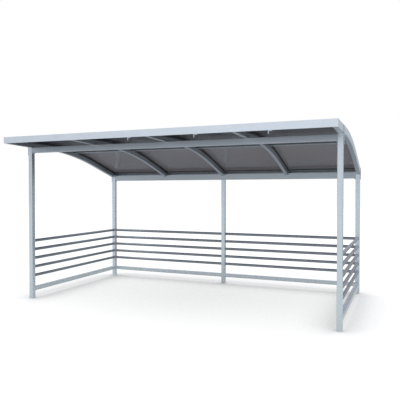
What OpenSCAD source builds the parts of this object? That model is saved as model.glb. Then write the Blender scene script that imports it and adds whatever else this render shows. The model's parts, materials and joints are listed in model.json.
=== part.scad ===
// Open bike shelter: a galvanised steel frame, closed on three sides by round rails
// and covered by a curved roof of smoked sheet. Units are millimetres.
// +X runs along the front, the open front faces -Y and +Z is up.
// The origin is on the ground, under the middle of the whole shelter.

/* [Plan] */
// Distance between the centres of the left and right posts
span_w = 4200; // [3200:10:5200]
// Distance between the centres of the front and rear posts
span_d = 2110; // [1600:10:2600]
// Reach of the roof in front of the front post centres
front_overhang = 482; // [200:1:700]
// Reach of the roof behind the rear post centres
rear_overhang = 120; // [90:1:220]

/* [Roof curve] */
// Height of the underside of the rafters over the front posts
eaves_z = 2120; // [1900:1:2600]
// Radius of the underside of the rafters
roof_r = 4500; // [3500:10:6000]
// Straight length of each rafter behind the front post centres
straight_l = 191; // [60:1:300]
// Fall of the straight rear part of the roof, as a share of its length
rear_fall = 0.28; // [0.2:0.01:0.34]

/* [Frame] */
// Width of the square posts
post_w = 60; // [50:1:100]
// Height of the front beam
front_beam_h = 76; // [50:1:120]
// Height of the rear beam
rear_beam_h = 95; // [50:1:140]
// Depth of both beams
beam_d = 60; // [40:1:80]
// Depth of rafter left over the back of the rear beam
seat_lap = 11; // [3:1:20]
// Corner radius of the square and rectangular tubes
corner_r = 5; // [2:0.5:8]
// Thickness of the plates on the ends of the beams
end_plate_t = 8; // [4:1:12]
// Setback of those plates behind the faces of the beams
end_plate_inset = 4; // [2:1:8]

/* [Roof pieces] */
// Width of the rafters
rafter_w = 50; // [40:1:60]
// Depth of the rafters
rafter_h = 60; // [50:1:100]
// Width of the glazing bars on the rafters
bar_w = 50; // [40:1:60]
// Height of the glazing bars
bar_h = 17; // [10:1:40]
// Thickness of the rubber strips between the bars and the roof sheets
gasket_t = 12; // [2:0.5:16]
// Thickness of the roof sheets
sheet_t = 6; // [3:1:16]
// Gap between neighbouring roof sheets
sheet_gap = 10; // [4:1:20]
// Width of the cross bars over the rear beam
cross_bar_w = 30; // [20:1:50]
// Thickness of the cover bars, the edge trims, the fascia and the rear strip
trim_t = 3; // [2:0.5:6]
// Height of the fascia and of the upright legs of the edge trims
fascia_h = 82; // [60:1:120]
// Height of the upright leg of the rear strip
rear_strip_h = 45; // [20:1:80]
// Width of the cover bars and of the legs that lie on the roof sheets
cover_w = 60; // [50:1:100]

/* [Head plates] */
// Thickness of the plates that join the corner posts to the end rafters
head_plate_t = 8; // [4:1:12]
// Width of those plates
head_plate_w = 56; // [30:1:60]
// Reach of those plates below the underside of the rafters
head_plate_drop = 110; // [60:1:200]
// Gap between those plates and the edge trims
head_plate_gap = 1; // [0.5:0.5:4]

/* [Rails] */
// Diameter of the round rails
rail_d = 42; // [20:1:50]
// Number of round rails in each bay
rail_count = 5; // [2:1:8]
// Height of the centre of the lowest round rail
lowest_rail_z = 318; // [220:1:500]
// Distance between the centres of neighbouring round rails
rail_pitch = 123; // [80:1:160]
// Height and depth of the bottom rails
bottom_rail_w = 55; // [40:1:60]
// Height of the middle of the bottom rails
bottom_rail_z = 131; // [60:1:180]

/* [Cleats] */
// Length of each leg of the angle cleats under the ends of the beams
cleat_leg = 15; // [12:1:40]
// Thickness of the cleats
cleat_t = 5; // [3:1:8]
// Width of the cleats
cleat_w = 40; // [20:1:50]

/* [Hidden] */
$fn = 96;
// Facets of the roof's large arcs, where a preview draws them as straight pieces
arc_fn = 1440;
rear_slope = asin(rear_fall);
// The straight rear tube of a rafter is this much smaller all round than the rolled one it is let into
tube_step = 0.2;
tube_let_in = 2;
// Layers of the roof, each given by its height over the underside of the rafters
bar_top = rafter_h + bar_h;
gasket_top = bar_top + gasket_t;
sheet_top = gasket_top + sheet_t;
roof_build_up = sheet_top + trim_t;
// Plan positions
roof_d = front_overhang + span_d + rear_overhang;
seat_d = max(beam_d, post_w);
front_edge = -roof_d / 2;
rear_edge = roof_d / 2;
front_y = front_edge + front_overhang;
rear_y = front_y + span_d;
bend_y = front_y + straight_l;
inner_front = front_edge + trim_t;
inner_rear = rear_edge - trim_t;
cover_front = front_edge + cover_w;
cover_rear = rear_edge - cover_w;
post_x = span_w / 2;
side_x = post_x + post_w / 2;
rafter_pitch = span_w / 4;
end_rafter_x = side_x - rafter_w / 2;
// Heights
function roof_z(h, y) = y < bend_y + (roof_r + h) * sin(rear_slope)
    ? eaves_z - roof_r + sqrt(pow(roof_r + h, 2) - pow(y - bend_y, 2))
    : eaves_z - roof_r + (roof_r + h) / cos(rear_slope) - (y - bend_y) * tan(rear_slope);
rear_beam_top = roof_z(rafter_h, rear_y + seat_d / 2) - seat_lap;
rear_beam_bottom = rear_beam_top - rear_beam_h;
front_beam_bottom = eaves_z - front_beam_h;
roof_top = eaves_z + roof_build_up;
fascia_bottom = roof_top - fascia_h;
rafter_nose_z = max(eaves_z, fascia_bottom);

galvanised = [0.72, 0.75, 0.78];
bright_steel = [0.82, 0.85, 0.88];
rubber = [0.08, 0.08, 0.09];
smoked = [0.33, 0.31, 0.31];

// ---- Shapes that repeat ----

// Outline of a tube with rounded corners, centred on the origin
module tube_outline(w, h) {
    square([w - 2 * corner_r, h], center = true);
    square([w, h - 2 * corner_r], center = true);
    for (x = [-1, 1], y = [-1, 1])
        translate([x * (w / 2 - corner_r), y * (h / 2 - corner_r)]) circle(r = corner_r);
}

// Sweeps an outline drawn in Y and Z along X
module along_x(x_from, length) {
    translate([x_from, 0, 0]) rotate([90, 0, 90]) linear_extrude(length) children();
}

// Sweeps an outline drawn in X and Z along Y
module along_y(y_from, length) {
    translate([0, y_from + length, 0]) rotate([90, 0, 0]) linear_extrude(length) children();
}

// Outline in Y and Z of one layer of the roof: level, then curved, then straight again
module roof_layer(low, high, y_from, y_to) {
    intersection() {
        translate([bend_y, eaves_z - roof_r]) {
            translate([-roof_d, roof_r + low]) square([roof_d, high - low]);
            intersection() {
                difference() {
                    circle(r = roof_r + high, $fn = arc_fn);
                    circle(r = roof_r + low, $fn = arc_fn);
                }
                square(2 * roof_r);
                rotate(-rear_slope) translate([-2 * roof_r, 0]) square(2 * roof_r);
            }
            rotate(-rear_slope) translate([0, roof_r + low]) square([roof_d, high - low]);
        }
        translate([y_from, 0]) square([y_to - y_from, roof_top]);
    }
}

module roof_strip(x_from, width, low, high, y_from, y_to) {
    along_x(x_from, width) roof_layer(low, high, y_from, y_to);
}

// ---- Frame ----

module post(x, y, height) {
    color(galvanised) translate([x, y, 0]) linear_extrude(height) tube_outline(post_w, post_w);
}

// A beam between the corner posts, with a set-back plate on each end
module beam(y, z_bottom, height) {
    length = span_w - post_w;
    plate_d = beam_d - 2 * end_plate_inset;
    plate_h = height - 2 * end_plate_inset;
    color(galvanised) translate([0, y, z_bottom + height / 2]) {
        along_x(-length / 2 + end_plate_t, length - 2 * end_plate_t) tube_outline(beam_d, height);
        for (x = [-length / 2, length / 2 - end_plate_t])
            translate([x, -plate_d / 2, -plate_h / 2]) cube([end_plate_t, plate_d, plate_h]);
    }
}

// Angle cleats on the inner faces of two posts, under the ends of a beam
module beam_cleats(y, z_top) {
    face_x = post_x - post_w / 2;
    color(galvanised) for (side = [0, 1])
        mirror([side, 0, 0]) translate([-face_x, y - cleat_w / 2, z_top]) {
            translate([0, 0, -cleat_t]) cube([cleat_leg, cleat_w, cleat_t]);
            translate([0, 0, -cleat_leg]) cube([cleat_t, cleat_w, cleat_leg]);
        }
}

// Outline in Y and Z of what is cut off a rafter: the nose, the seat and the end
module rafter_cuts() {
    nose_y = front_y - seat_d / 2;
    rise = (rafter_nose_z - eaves_z) / (nose_y - inner_front);
    polygon([[nose_y, 0], [nose_y, eaves_z], [front_edge, rafter_nose_z + rise * trim_t], [front_edge, 0]]);
    translate([rear_y - seat_d / 2, 0]) square([roof_d, rear_beam_top]);
    translate([rear_y + seat_d / 2, 0]) square([roof_d, roof_top]);
}

// A rolled tube from the fascia to the rear beam, cut to sit on that beam
module rafter(x) {
    tube_z = rafter_h / 2;
    color(galvanised) difference() {
        union() {
            translate([x, inner_front, eaves_z + tube_z]) rotate([90, 0, 0]) mirror([0, 0, 1])
                linear_extrude(bend_y - inner_front) tube_outline(rafter_w, rafter_h);
            translate([x, bend_y, eaves_z - roof_r]) {
                rotate([0, -90, 0]) rotate_extrude(angle = rear_slope, $fn = arc_fn)
                    translate([roof_r + tube_z, 0]) tube_outline(rafter_h, rafter_w);
                rotate([-rear_slope, 0, 0]) translate([0, -tube_let_in, roof_r + tube_z])
                    rotate([90, 0, 0]) mirror([0, 0, 1]) linear_extrude(roof_d)
                        tube_outline(rafter_w - 2 * tube_step, rafter_h - 2 * tube_step);
            }
        }
        along_x(x - rafter_w, 2 * rafter_w) rafter_cuts();
    }
}

// ---- Roof ----

module glazing_bar(x_from) {
    color(galvanised) roof_strip(x_from, bar_w, rafter_h, bar_top, inner_front, inner_rear);
}

// One layer of the strips over the rear beam, which close the bays between the glazing bars
module cross_strips(low, high) {
    y_from = rear_y - cross_bar_w / 2;
    end_bay = side_x - bar_w - rafter_pitch - bar_w / 2;
    for (side = [0, 1]) mirror([side, 0, 0]) {
        roof_strip(bar_w / 2, rafter_pitch - bar_w, low, high, y_from, y_from + cross_bar_w);
        roof_strip(rafter_pitch + bar_w / 2, end_bay, low, high, y_from, y_from + cross_bar_w);
    }
}

module glazing_gasket(x_from) {
    roof_strip(x_from, bar_w, bar_top, gasket_top, inner_front, inner_rear);
}

module roof_sheet(x_from, x_to) {
    color(smoked, 0.8)
        roof_strip(x_from, x_to - x_from, gasket_top, sheet_top, inner_front, inner_rear);
}

module cover_bar(x) {
    color(bright_steel)
        roof_strip(x - cover_w / 2, cover_w, sheet_top, roof_build_up, cover_front, cover_rear);
}

// Angle along the right end of the roof, cut away round the two head plates
module edge_trim() {
    color(bright_steel) {
        roof_strip(side_x - cover_w, cover_w, sheet_top, roof_build_up, cover_front, cover_rear);
        along_x(side_x, trim_t) difference() {
            union() {
                roof_layer(roof_build_up - fascia_h, roof_build_up, cover_front, cover_rear);
                roof_layer(roof_build_up - fascia_h, sheet_top, inner_front, inner_rear);
            }
            for (y = [front_y, rear_y])
                roof_layer(-roof_build_up, sheet_top,
                    y - head_plate_w / 2 - head_plate_gap, y + head_plate_w / 2 + head_plate_gap);
        }
    }
}

// Plate on the outer faces of a right-hand post and of the end rafter over it
module head_plate(y, post_top) {
    y_from = y - head_plate_w / 2;
    y_to = y + head_plate_w / 2;
    bottom = post_top - head_plate_drop;
    color(galvanised) intersection() {
        roof_strip(side_x, head_plate_t, bottom - eaves_z, sheet_top - head_plate_gap, y_from, y_to);
        translate([side_x, y_from, bottom]) cube([head_plate_t, head_plate_w, roof_top]);
    }
}

module front_fascia() {
    width = 2 * (side_x + trim_t);
    color(bright_steel) translate([-width / 2, front_edge, fascia_bottom]) {
        cube([width, trim_t, fascia_h]);
        translate([0, 0, fascia_h - trim_t]) cube([width, cover_w, trim_t]);
    }
}

module rear_edge_strip() {
    width = 2 * (side_x + trim_t);
    top = roof_z(roof_build_up, rear_edge);
    color(bright_steel) {
        roof_strip(-width / 2, width, sheet_top, roof_build_up, rear_edge - cover_w, rear_edge);
        translate([-width / 2, inner_rear, top - rear_strip_h])
            cube([width, trim_t, rear_strip_h - trim_t / 2]);
    }
}

// ---- Rails ----

module rails_along_y(x) {
    length = span_d - post_w;
    color(bright_steel) for (i = [0 : rail_count - 1])
        translate([x, front_y + post_w / 2, lowest_rail_z + i * rail_pitch])
            rotate([-90, 0, 0]) cylinder(d = rail_d, h = length);
}

module rails_along_x(x_from) {
    length = span_w / 2 - post_w;
    color(bright_steel) for (i = [0 : rail_count - 1])
        translate([x_from, rear_y, lowest_rail_z + i * rail_pitch])
            rotate([0, 90, 0]) cylinder(d = rail_d, h = length);
}

module bottom_rail_along_y(x) {
    color(galvanised) translate([x, 0, bottom_rail_z])
        along_y(front_y + post_w / 2, span_d - post_w) tube_outline(bottom_rail_w, bottom_rail_w);
}

module bottom_rail_along_x(x_from) {
    color(galvanised) translate([0, rear_y, bottom_rail_z])
        along_x(x_from, span_w / 2 - post_w) tube_outline(bottom_rail_w, bottom_rail_w);
}

// ---- Sub-parts ----

module front_left_post() post(-post_x, front_y, eaves_z);
module front_right_post() post(post_x, front_y, eaves_z);
module rear_left_post() post(-post_x, rear_y, rear_beam_top);
module rear_middle_post() post(0, rear_y, rear_beam_bottom);
module rear_right_post() post(post_x, rear_y, rear_beam_top);

module front_beam() beam(front_y, front_beam_bottom, front_beam_h);
module rear_beam() beam(rear_y, rear_beam_bottom, rear_beam_h);
module front_beam_cleats() beam_cleats(front_y, front_beam_bottom);
module rear_beam_cleats() beam_cleats(rear_y, rear_beam_bottom);

module left_end_rafter() rafter(-end_rafter_x);
module left_rafter() rafter(-rafter_pitch);
module middle_rafter() rafter(0);
module right_rafter() rafter(rafter_pitch);
module right_end_rafter() rafter(end_rafter_x);

module left_end_glazing_bar() glazing_bar(-side_x);
module left_glazing_bar() glazing_bar(-rafter_pitch - bar_w / 2);
module middle_glazing_bar() glazing_bar(-bar_w / 2);
module right_glazing_bar() glazing_bar(rafter_pitch - bar_w / 2);
module right_end_glazing_bar() glazing_bar(side_x - bar_w);

module rear_cross_bars() color(galvanised) cross_strips(rafter_h, bar_top);

module glazing_gaskets() color(rubber) {
    glazing_gasket(-side_x);
    for (i = [-1, 0, 1]) glazing_gasket(i * rafter_pitch - bar_w / 2);
    glazing_gasket(side_x - bar_w);
    cross_strips(bar_top, gasket_top);
}

module left_roof_sheet() roof_sheet(-side_x, -rafter_pitch - sheet_gap / 2);
module middle_left_roof_sheet() roof_sheet(-rafter_pitch + sheet_gap / 2, -sheet_gap / 2);
module middle_right_roof_sheet() roof_sheet(sheet_gap / 2, rafter_pitch - sheet_gap / 2);
module right_roof_sheet() roof_sheet(rafter_pitch + sheet_gap / 2, side_x);

module left_cover_bar() cover_bar(-rafter_pitch);
module middle_cover_bar() cover_bar(0);
module right_cover_bar() cover_bar(rafter_pitch);

module left_edge_trim() mirror([1, 0, 0]) edge_trim();
module right_edge_trim() edge_trim();

module front_left_head_plate() mirror([1, 0, 0]) head_plate(front_y, eaves_z);
module front_right_head_plate() head_plate(front_y, eaves_z);
module rear_left_head_plate() mirror([1, 0, 0]) head_plate(rear_y, rear_beam_top);
module rear_right_head_plate() head_plate(rear_y, rear_beam_top);

module left_side_rails() rails_along_y(-post_x);
module right_side_rails() rails_along_y(post_x);
module rear_left_rails() rails_along_x(-post_x + post_w / 2);
module rear_right_rails() rails_along_x(post_w / 2);

module left_bottom_rail() bottom_rail_along_y(-post_x);
module right_bottom_rail() bottom_rail_along_y(post_x);
module rear_left_bottom_rail() bottom_rail_along_x(-post_x + post_w / 2);
module rear_right_bottom_rail() bottom_rail_along_x(post_w / 2);

front_left_post();
front_right_post();
rear_left_post();
rear_middle_post();
rear_right_post();
front_beam();
rear_beam();
front_beam_cleats();
rear_beam_cleats();
left_end_rafter();
left_rafter();
middle_rafter();
right_rafter();
right_end_rafter();
left_end_glazing_bar();
left_glazing_bar();
middle_glazing_bar();
right_glazing_bar();
right_end_glazing_bar();
rear_cross_bars();
glazing_gaskets();
left_roof_sheet();
middle_left_roof_sheet();
middle_right_roof_sheet();
right_roof_sheet();
left_cover_bar();
middle_cover_bar();
right_cover_bar();
left_edge_trim();
right_edge_trim();
front_fascia();
rear_edge_strip();
front_left_head_plate();
front_right_head_plate();
rear_left_head_plate();
rear_right_head_plate();
left_side_rails();
right_side_rails();
rear_left_rails();
rear_right_rails();
left_bottom_rail();
right_bottom_rail();
rear_left_bottom_rail();
rear_right_bottom_rail();
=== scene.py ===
"""Looks of an open bike shelter: galvanised frame, smoked roof sheets, rubber seals and fixings.

Everything is in metres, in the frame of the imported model: +X along the open front, +Y to the back.
"""

import json
from math import atan2, pi, radians, sqrt

import bpy
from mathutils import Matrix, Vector


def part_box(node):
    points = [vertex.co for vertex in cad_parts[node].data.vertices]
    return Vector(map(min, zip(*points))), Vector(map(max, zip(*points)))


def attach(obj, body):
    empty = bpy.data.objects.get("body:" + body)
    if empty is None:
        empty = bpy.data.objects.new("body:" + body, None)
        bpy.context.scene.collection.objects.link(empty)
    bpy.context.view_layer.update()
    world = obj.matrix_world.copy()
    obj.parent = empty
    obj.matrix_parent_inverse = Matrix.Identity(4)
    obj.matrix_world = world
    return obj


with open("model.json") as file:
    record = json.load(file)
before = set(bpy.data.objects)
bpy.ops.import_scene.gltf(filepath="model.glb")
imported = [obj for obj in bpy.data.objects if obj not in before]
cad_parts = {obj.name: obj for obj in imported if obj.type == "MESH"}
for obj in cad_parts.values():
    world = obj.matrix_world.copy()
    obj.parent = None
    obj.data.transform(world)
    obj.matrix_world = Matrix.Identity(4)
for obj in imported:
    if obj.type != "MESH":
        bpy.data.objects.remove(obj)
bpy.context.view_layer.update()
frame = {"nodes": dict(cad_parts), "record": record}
nodes = frame["nodes"]


# ---- Node trees written as sums ----


class Wire:
    """An output of a node tree. Sums on wires add Math nodes."""

    def __init__(self, tree, socket):
        self.tree = tree
        self.socket = socket

    def sum(self, operation, first, second):
        maths = Tree(self.tree)
        return maths.node("ShaderNodeMath", {"operation": operation}, {0: first, 1: second})

    def __add__(self, other):
        return self.sum("ADD", self, other)

    def __radd__(self, other):
        return self.sum("ADD", other, self)

    def __sub__(self, other):
        return self.sum("SUBTRACT", self, other)

    def __rsub__(self, other):
        return self.sum("SUBTRACT", other, self)

    def __mul__(self, other):
        return self.sum("MULTIPLY", self, other)

    def __rmul__(self, other):
        return self.sum("MULTIPLY", other, self)

    def __pow__(self, other):
        return self.sum("POWER", self, other)


class Tree:
    """A node tree of a material or of the world."""

    def __init__(self, tree):
        self.tree = tree

    def node(self, kind, settings=None, inputs=None, output=0):
        """Adds a node, sets it up, fills or links its inputs, and gives one of its outputs."""
        made = self.tree.nodes.new(kind)
        for key, value in (settings or {}).items():
            if key == "stops":
                self.set_stops(made.color_ramp, value)
            else:
                setattr(made, key, value)
        for key, value in (inputs or {}).items():
            self.feed(made.inputs[key], value)
        return Wire(self.tree, made.outputs[output])

    def set_stops(self, ramp, stops):
        """Sets a colour ramp's stops, each a place and a colour."""
        while len(ramp.elements) < len(stops):
            ramp.elements.new(1.0)
        for element, (place, colour) in zip(ramp.elements, stops):
            element.position = place
            element.color = (*colour, 1.0)

    def feed(self, socket, value):
        """Links a wire to a socket, or sets the socket's own value."""
        if isinstance(value, Wire):
            self.tree.links.new(value.socket, socket)
        else:
            socket.default_value = value

    def mix(self, amount, first, second):
        """Blends two colours."""
        ends = [c if isinstance(c, Wire) else (*c, 1.0) for c in (first, second)]
        return self.node(
            "ShaderNodeMix", {"data_type": "RGBA"}, {0: amount, 6: ends[0], 7: ends[1]}, 2
        )

    def noise(self, scale, detail=3.0, stretch=(1, 1, 1)):
        """Cloudy noise on the object's own coordinates, from 0 to 1."""
        return self.node(
            "ShaderNodeTexNoise", {}, {"Vector": self.place(stretch), "Scale": scale, "Detail": detail}
        )

    def place(self, stretch=(1, 1, 1)):
        """The object's own coordinates, drawn out where stretch is less than 1."""
        here = self.node("ShaderNodeTexCoord", {}, {}, "Object")
        if stretch == (1, 1, 1):
            return here
        return self.node("ShaderNodeMapping", {}, {"Vector": here, "Scale": stretch})


class Finish(Tree):
    """A material with one Principled surface."""

    def __init__(self, name):
        self.material = bpy.data.materials.new(name)
        self.material.use_nodes = True
        super().__init__(self.material.node_tree)
        self.surface = self.tree.nodes["Principled BSDF"]

    def set(self, **sockets):
        """Feeds the surface's sockets, with _ in their names for a space."""
        for name, value in sockets.items():
            self.feed(self.surface.inputs[name.replace("_", " ")], value)

    def bump(self, height, depth):
        """Gives the surface a relief of a depth in metres."""
        self.set(Normal=self.node("ShaderNodeBump", {}, {"Height": height, "Distance": depth}))


# ---- Finishes ----

# Where the middle cross bars run under the roof sheets, and how far to each side of there the painted shade
# on the front part of the sheets' undersides fades out
cross_bar_y = 0.10
painted_shade_fade = 0.01


def zinc(name, pale, dark, crystal, rough):
    """Hot-dip zinc: crystals of one size in their own tones, cloudy patches and a fine grain."""
    finish = Finish(name)
    crystals = finish.node(
        "ShaderNodeTexVoronoi", {}, {"Vector": finish.place(), "Scale": 1 / crystal}, "Color"
    )
    tone = finish.node("ShaderNodeSeparateColor", {}, {0: crystals})
    clouds = finish.noise(5.0, 4.0)
    grain = finish.noise(900.0, 2.0)
    mask = tone * 0.25 + clouds * 0.75
    finish.set(
        Base_Color=finish.mix(mask, dark, pale),
        Metallic=0.85,
        Roughness=rough - 0.05 + tone * 0.05 + clouds * 0.05,
    )
    finish.bump(tone * 0.3 + grain * 0.7, 0.00004)
    return finish.material


def smoked_sheet(name):
    """Glossy smoked plastic, a little cloudy, with fine scratches and settled dust.

    Underneath, from the front as far back as the middle cross bars, it carries painted shade for the shaded
    front of the roof.
    """
    finish = Finish(name)
    to_back = finish.node("ShaderNodeSeparateXYZ", {}, {0: finish.place()}, "Y")
    surface = finish.node("ShaderNodeNewGeometry", {}, {}, "Normal")
    upward = finish.node("ShaderNodeSeparateXYZ", {}, {0: surface}, "Z")
    # Painted shade: a mask of the front part of the sheets, as far back as the middle cross bars
    front = finish.node(
        "ShaderNodeMapRange",
        {},
        {"Value": to_back, "From Min": cross_bar_y + painted_shade_fade, "From Max": cross_bar_y - painted_shade_fade},
    )
    painted_shade_underneath = finish.node("ShaderNodeMapRange", {}, {"Value": upward, "From Min": 0.0, "From Max": -0.3})
    clouds = finish.noise(2.0, 3.0)
    dust = finish.noise(40.0, 6.0)
    scratches = finish.noise(60.0, 3.0, (1.0, 0.05, 1.0))
    tint = finish.mix(clouds, (0.240, 0.218, 0.230), (0.275, 0.248, 0.262))
    finish.set(
        # Painted shade: where the front mask meets the downward faces, the colour is blended toward near
        # black
        Base_Color=finish.mix(front * painted_shade_underneath * 0.75, tint, (0.02, 0.02, 0.023)),
        Roughness=0.12 + dust * 0.06 + scratches * 0.05,
    )
    finish.surface.inputs["IOR"].default_value = 1.45
    finish.surface.inputs["Specular IOR Level"].default_value = 0.25
    finish.surface.inputs["Transmission Weight"].default_value = 0.6
    finish.bump(clouds, 0.002)
    return finish.material


def rubber(name):
    """Black rubber with a soft grain."""
    finish = Finish(name)
    grain = finish.noise(400.0, 3.0)
    finish.set(Base_Color=finish.mix(grain, (0.010, 0.010, 0.011), (0.022, 0.022, 0.024)))
    finish.set(Roughness=0.55 + grain * 0.2)
    finish.bump(grain, 0.0003)
    return finish.material


finishes = {
    "galvanised_tube": zinc(
        "galvanised_tube", (0.71, 0.76, 0.80), (0.63, 0.675, 0.71), crystal=0.018, rough=0.28
    ),
    # dull_tube is the zinc of galvanised_tube with a darker base colour, as painted shade for the shaded
    # rafters and beams
    "dull_tube": zinc("dull_tube", (0.50, 0.53, 0.57), (0.42, 0.45, 0.485), crystal=0.018, rough=0.36),
    # bright_tube is the same zinc, glossier, with a much darker base colour as painted shade for the dark
    # reflections on the rails
    "bright_tube": zinc("bright_tube", (0.31, 0.33, 0.36), (0.25, 0.27, 0.30), crystal=0.012, rough=0.20),
    "folded_galvanised_sheet": zinc(
        "folded_galvanised_sheet", (0.80, 0.84, 0.89), (0.69, 0.73, 0.77), crystal=0.028, rough=0.40
    ),
    # glazing_bar_metal is the same zinc with a near black base colour, as painted shade for the shaded sides
    # of the glazing bars
    "glazing_bar_metal": zinc(
        "glazing_bar_metal", (0.16, 0.17, 0.185), (0.12, 0.13, 0.14), crystal=0.03, rough=0.35
    ),
    "smoked_sheet": smoked_sheet("smoked_sheet"),
    "rubber_seal": rubber("rubber_seal"),
}
for part in frame["record"]["subparts"]:
    materials = nodes[part["node"]].data.materials
    materials.clear()
    materials.append(finishes[part["material_slot"]])


# ---- Ways to shape and place a piece ----


def pick(*pieces):
    """Selects only these pieces and makes the first of them active."""
    bpy.ops.object.select_all(action="DESELECT")
    for piece in pieces:
        piece.select_set(True)
    bpy.context.view_layer.objects.active = pieces[0]


def join(pieces):
    """Joins the pieces into the first of them."""
    pick(*pieces)
    if len(pieces) > 1:
        bpy.ops.object.join()
    return bpy.context.object


def settle(piece):
    """Moves the piece's place and turn into its mesh."""
    pick(piece)
    bpy.ops.object.transform_apply(location=True, rotation=True, scale=True)
    return piece


def spread(first, name, slot, places):
    """Copies a piece modelled at the origin to each (place, turn), as one piece of the shelter."""
    copies = []
    for place, turn in places:
        pick(first)
        bpy.ops.object.duplicate()
        copy = bpy.context.object
        copy.location, copy.rotation_euler = place, turn
        copies.append(copy)
    bpy.data.objects.remove(first)
    whole = settle(join(copies))
    whole.name = whole.data.name = name
    whole.data.materials.clear()
    whole.data.materials.append(finishes[slot])
    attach(whole, "root")


def select_where(piece, kind, rule):
    """Selects a piece's vertices or faces that meet a rule, and leaves it in edit mode."""
    pick(piece)
    bpy.ops.object.mode_set(mode="EDIT")
    bpy.ops.mesh.select_mode(type="VERT" if kind == "vertices" else "FACE")
    bpy.ops.mesh.select_all(action="DESELECT")
    bpy.ops.object.mode_set(mode="OBJECT")
    for item in getattr(piece.data, kind):
        item.select = rule(item)
    bpy.ops.object.mode_set(mode="EDIT")


def ease(piece, width):
    """Rounds the sharp edges of a piece."""
    rounding = piece.modifiers.new("ease", "BEVEL")
    rounding.width = width
    rounding.segments = 2
    rounding.limit_method = "ANGLE"
    rounding.angle_limit = radians(50)
    pick(piece)
    bpy.ops.object.modifier_apply(modifier=rounding.name)
    return piece


def ripple(piece, pitch, depth):
    """Swells every other stretch of a bead, as a run of weld pools does."""
    select_where(piece, "vertices", lambda v: (v.co.x + v.co.y) // pitch % 2 == 0)
    bpy.ops.transform.shrink_fatten(value=depth)
    bpy.ops.object.mode_set(mode="OBJECT")
    return piece


def ring(radius, thickness, corners):
    """A weld bead round a tube along Z. Four corners make a square bead, and radius is half its side."""
    reach = radius * sqrt(2) if corners == 4 else radius
    bpy.ops.mesh.primitive_torus_add(
        major_radius=reach, minor_radius=thickness, major_segments=corners, minor_segments=8
    )
    bead = bpy.context.object
    bead.rotation_euler.z = pi / corners
    bpy.ops.object.shade_smooth()
    settle(bead)
    if corners == 4:
        select_where(bead, "polygons", lambda face: True)
        bpy.ops.mesh.subdivide(number_cuts=7)
        bpy.ops.object.mode_set(mode="OBJECT")
    return ripple(bead, 2 * thickness, thickness * 0.12)


def rod(length, radius):
    """A straight weld bead along X, with rounded ends."""
    bpy.ops.mesh.primitive_cylinder_add(vertices=12, radius=radius, depth=length, rotation=(0, pi / 2, 0))
    bead = ease(settle(bpy.context.object), radius * 0.6)
    pick(bead)
    bpy.ops.object.shade_smooth()
    return bead


def block(low, high):
    """A box between two corners."""
    size = [b - a for a, b in zip(low, high)]
    middle = [(a + b) / 2 for a, b in zip(low, high)]
    bpy.ops.mesh.primitive_cube_add(size=1.0, location=middle)
    bpy.context.object.scale = size
    return settle(bpy.context.object)


def pull_down(piece, cut, axis, distance):
    """Cuts across a block at one place along an axis, and draws the low side's underside down."""
    place, normal = [0, 0, 0], [0, 0, 0]
    place[axis], normal[axis] = cut, 1
    select_where(piece, "polygons", lambda face: True)
    bpy.ops.mesh.bisect(plane_co=place, plane_no=normal)
    bpy.ops.object.mode_set(mode="OBJECT")
    select_where(piece, "polygons", lambda face: face.normal.z < -0.9 and face.center[axis] < cut)
    bpy.ops.mesh.extrude_region_move(TRANSFORM_OT_translate={"value": (0, 0, -distance)})
    bpy.ops.object.mode_set(mode="OBJECT")
    return piece


def hex_screw(across, head_h, washer_r, washer_h):
    """A hexagon head on its washer, both with eased edges, standing on the origin along Z."""
    bpy.ops.mesh.primitive_cylinder_add(
        vertices=24, radius=washer_r, depth=washer_h, location=(0, 0, washer_h / 2)
    )
    washer = bpy.context.object
    bpy.ops.mesh.primitive_cylinder_add(
        vertices=6, radius=across / sqrt(3), depth=head_h, location=(0, 0, washer_h + head_h / 2)
    )
    head = bpy.context.object
    return settle(join([ease(washer, washer_h * 0.3), ease(head, head_h * 0.12)]))


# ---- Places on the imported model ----

# Heights from which rays along Z look for a face, between the rails and the roof, and above the roof
under_roof_z = 1.0
over_roof_z = 3.0


def middle_of(node):
    """The middle of a node's box."""
    low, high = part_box(node)
    return (Vector(low) + Vector(high)) / 2


def named(ending):
    """The nodes whose names end in this way."""
    return [part["node"] for part in frame["record"]["subparts"] if part["node"].endswith(ending)]


def meets(node, x, y, from_above=False):
    """Where a ray along Z first meets a node, and the way that spot faces."""
    height, way = (over_roof_z, -1) if from_above else (under_roof_z, 1)
    part = nodes[node]
    inward = part.matrix_world.inverted()
    start, ray = inward @ Vector((x, y, height)), inward.to_3x3() @ Vector((0, 0, way))
    hit, spot, facing, _ = part.ray_cast(start, ray)
    if not hit:
        raise RuntimeError(f"no part of {node} at {x}, {y}")
    return part.matrix_world @ spot, (part.matrix_world.to_3x3() @ facing).normalized()


front_left = middle_of("front_left_post")
rear_right = middle_of("rear_right_post")
post_half = (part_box("front_left_post")[1][0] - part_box("front_left_post")[0][0]) / 2
side_x, front_y, rear_y = rear_right.x, front_left.y, rear_right.y

# Where rails end, on the inner faces of the posts, and the turn from Z to along the rail
along_x, along_y = (0, pi / 2, 0), (pi / 2, 0, 0)
rail_ends = [(x, y, along_y) for x in (-side_x, side_x) for y in (front_y + post_half, rear_y - post_half)]
rail_ends += [(x, rear_y, along_x) for x in (-side_x + post_half, -post_half, post_half, side_x - post_half)]


# ---- Welds and fixings ----

# How far a bead's middle stands off the steel that it is laid against
bead_gap = 0.001


def add_rail_welds():
    """Beads round the ends of the round rails, five in each bay."""
    rails = 5
    low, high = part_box("left_side_rails")
    radius = (high[0] - low[0]) / 2
    pitch = (high[2] - low[2] - 2 * radius) / (rails - 1)
    heights = [low[2] + radius + i * pitch for i in range(rails)]
    places = [((x, y, z), turn) for x, y, turn in rail_ends for z in heights]
    spread(ring(radius + bead_gap, thickness=0.0028, corners=32), "rail_welds", "dull_tube", places)


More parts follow.
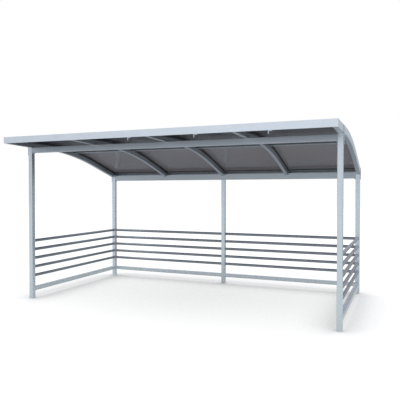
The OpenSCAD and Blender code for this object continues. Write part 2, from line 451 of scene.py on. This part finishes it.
def add_bottom_rail_welds():
    """Square beads round the ends of the bottom rails."""
    low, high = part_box("left_bottom_rail")
    height = (low[2] + high[2]) / 2
    bead = ring((high[2] - low[2]) / 2, thickness=0.0024, corners=4)
    places = [((x, y, height), turn) for x, y, turn in rail_ends]
    spread(bead, "bottom_rail_welds", "galvanised_tube", places)


def add_rafter_welds():
    """Beads under the ends of the rafters, against the front face of the rear beam."""
    bead_y = rear_y - post_half - bead_gap
    places = [(meets(node, middle_of(node).x, bead_y)[0], (0, 0, 0)) for node in named("rafter")]
    spread(rod(length=0.046, radius=0.003), "rafter_welds", "dull_tube", places)


def add_cleat_bolts():
    """Small bolts through the angle cleats into the undersides of the beams."""
    from_end, from_side = 0.0105, 0.011
    head_down = (pi, 0, 0)
    places = []
    for node in ("front_beam_cleats", "rear_beam_cleats"):
        low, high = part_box(node)
        for x in (-(high[0] - from_end), high[0] - from_end):
            for y in (low[1] + from_side, high[1] - from_side):
                places.append((meets(node, x, y)[0], head_down))
    bolt = hex_screw(across=0.0065, head_h=0.003, washer_r=0.0042, washer_h=0.0006)
    spread(bolt, "cleat_bolts", "bright_tube", places)


def add_roof_screws():
    """Screws with washers on the sloping part of the cover bars and edge trims."""
    behind_posts, pitch, count = 0.46, 0.33, 6
    strips = ("left_edge_trim", "left_cover_bar", "middle_cover_bar", "right_cover_bar", "right_edge_trim")
    places = []
    for node in strips:
        low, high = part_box(node)
        x = (low[0] + high[0]) / 2
        for i in range(count):
            spot, facing = meets(node, x, front_y + behind_posts + i * pitch, from_above=True)
            places.append((spot, facing.to_track_quat("Z", "Y").to_euler()))
    screw = hex_screw(across=0.008, head_h=0.0035, washer_r=0.008, washer_h=0.0012)
    spread(screw, "roof_screws", "folded_galvanised_sheet", places)


def add_fascia_hooks():
    """Flat hooks on the back of the fascia, each with a leg that hangs under its lower edge."""
    plate_w, plate_t, above_edge, below_edge = 0.044, 0.003, 0.022, 0.010
    leg_w, leg_drop = 0.011, 0.027
    behind_face = 0.003
    across = (-0.25, 0.59, 1.43)
    fascia_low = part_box("front_fascia")[0]
    front, edge = fascia_low[1] + behind_face, fascia_low[2]
    plate = block((0, front, edge - below_edge), (plate_w, front + plate_t, edge + above_edge))
    hook = ease(pull_down(plate, cut=leg_w, axis=0, distance=leg_drop), width=0.0006)
    spread(hook, "fascia_hooks", "dull_tube", [((x, 0, 0), (0, 0, 0)) for x in across])


def add_middle_cross_bars():
    """Cross bars between the glazing bars near the middle of the sheets, with rubber strips on them."""
    half_w = 0.015
    seal_top, bar_top, bar_low = -0.001, -0.013, -0.030
    boxes = sorted((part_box(node) for node in named("glazing_bar")), key=lambda corners: corners[0][0])
    bays = [(here[1][0], following[0][0]) for here, following in zip(boxes, boxes[1:])]
    spot, facing = meets("left_roof_sheet", sum(bays[0]) / 2, cross_bar_y)
    under_sheet = [((0, spot.y, spot.z), (atan2(facing.y, -facing.z), 0, 0))]
    layers = (
        ("middle_cross_bars", "dull_tube", bar_low, bar_top),
        ("middle_cross_seals", "rubber_seal", bar_top, seal_top),
    )
    for name, slot, low, top in layers:
        strips = [ease(block((x0, -half_w, low), (x1, half_w, top)), width=0.001) for x0, x1 in bays]
        spread(join(strips), name, slot, under_sheet)


add_rail_welds()
add_bottom_rail_welds()
add_rafter_welds()
add_cleat_bolts()
add_roof_screws()
add_fascia_hooks()
add_middle_cross_bars()


# ---- Studio ----

# The camera's place at a standing person's eyes, its turn to the left and tilt down in degrees, and its
# lens in millimetres
camera_place = (2.7336, -6.2473, 1.5036)
camera_turn = 22.857
camera_tilt = 1.005
camera_lens = 43.65


def add_camera():
    """The camera, with a sensor 36 mm wide."""
    bpy.ops.object.camera_add(
        location=camera_place, rotation=(radians(90 - camera_tilt), 0, radians(camera_turn))
    )
    camera = bpy.context.object
    camera.data.lens = camera_lens
    camera.data.sensor_width = 36.0
    bpy.context.scene.camera = camera


def seen_by_camera(tree):
    """1 for the camera's own rays, and 0 for light that bounces."""
    return tree.node("ShaderNodeLightPath", {}, {}, "Is Camera Ray")


def add_floor():
    """A pale floor. It shows almost white, with painted shadows under the roof and round the posts and
    rails, and lights the shelter from below like paving.
    """
    bpy.ops.mesh.primitive_plane_add(size=80.0)
    floor = bpy.context.object
    floor.name = "floor"
    paint = Finish("pale_floor")
    # Painted shadows: ambient occlusion dims the glow that the camera sees, broadly under the roof and
    # closely round the posts and rails; only the small share of chalk is really lit
    under_roof = paint.node("ShaderNodeAmbientOcclusion", {"samples": 8}, {"Distance": 3.0}, "AO")
    painted_feet_shadow = paint.node("ShaderNodeAmbientOcclusion", {"samples": 8}, {"Distance": 0.5}, "AO")
    strength = under_roof ** 0.34 * painted_feet_shadow ** 0.8 * 1.19
    glow = paint.node("ShaderNodeEmission", {}, {"Color": (1, 1, 1, 1), "Strength": strength})
    chalk = paint.node("ShaderNodeBsdfDiffuse", {}, {"Color": (0.9, 0.9, 0.9, 1)})
    shown = paint.node("ShaderNodeMixShader", {}, {0: 0.15, 1: glow, 2: chalk})
    lit = paint.node("ShaderNodeBsdfDiffuse", {}, {"Color": (0.58, 0.60, 0.58, 1)})
    glow_up = paint.node("ShaderNodeEmission", {}, {"Color": (0.95, 1, 0.98, 1), "Strength": 0.25})
    bright = paint.node("ShaderNodeAddShader", {}, {0: lit, 1: glow_up})
    dim = paint.node("ShaderNodeBsdfDiffuse", {}, {"Color": (0.34, 0.35, 0.36, 1)})
    to_back = paint.node("ShaderNodeSeparateXYZ", {}, {0: paint.place()}, "Y")
    behind = paint.node("ShaderNodeMapRange", {}, {"Value": to_back, "From Min": 1.3, "From Max": 3.0})
    bounced = paint.node("ShaderNodeMixShader", {}, {0: behind, 1: bright, 2: dim})
    both = paint.node("ShaderNodeMixShader", {}, {0: seen_by_camera(paint), 1: bounced, 2: shown})
    paint.feed(paint.tree.nodes["Material Output"].inputs["Surface"], both)
    floor.data.materials.append(paint.material)


def add_sky():
    """A soft studio dome, darker low down at the back. The camera itself sees plain white."""
    world = bpy.data.worlds.new("studio")
    bpy.context.scene.world = world
    world.use_nodes = True
    sky = Tree(world.node_tree)
    direction = sky.node("ShaderNodeTexCoord", {}, {}, "Generated")
    height = sky.node("ShaderNodeSeparateXYZ", {}, {0: direction}, "Z")
    to_back = sky.node("ShaderNodeSeparateXYZ", {}, {0: direction}, "Y")
    to_right = sky.node("ShaderNodeSeparateXYZ", {}, {0: direction}, "X")
    back = sky.node(
        "ShaderNodeMapRange", {}, {"Value": to_back, "From Min": -1.0, "From Max": 0.6, "To Max": 0.38}
    )
    left = sky.node(
        "ShaderNodeMapRange", {}, {"Value": to_right, "From Min": -0.4, "From Max": -0.9, "To Max": 0.35}
    )
    shade = (back + left) * (1 - height)
    dome = sky.node(
        "ShaderNodeValToRGB",
        {"stops": [(0.0, (0.77, 0.81, 0.87)), (0.2, (0.85, 0.89, 0.96)), (1.0, (0.92, 0.97, 1.06))]},
        {0: height},
    )
    shaded = sky.mix(shade, dome, (0, 0, 0))
    colour = sky.mix(seen_by_camera(sky), shaded, (1, 1, 1))
    background = world.node_tree.nodes["Background"]
    sky.feed(background.inputs["Color"], colour)
    background.inputs["Strength"].default_value = 1.0


def add_key_light():
    """A wide soft lamp high in front, a little to the left."""
    bpy.ops.object.light_add(type="SUN", location=(-2.0, -4.0, 6.0))
    lamp = bpy.context.object
    lamp.data.angle = radians(30)
    lamp.data.energy = 0.5
    lamp.rotation_euler = Vector((2.0, 3.0, -6.0)).to_track_quat("-Z", "Y").to_euler()


bpy.ops.object.select_all(action="DESELECT")
add_camera()
add_floor()
add_sky()
add_key_light()
bpy.context.scene.view_settings.view_transform = "Standard"
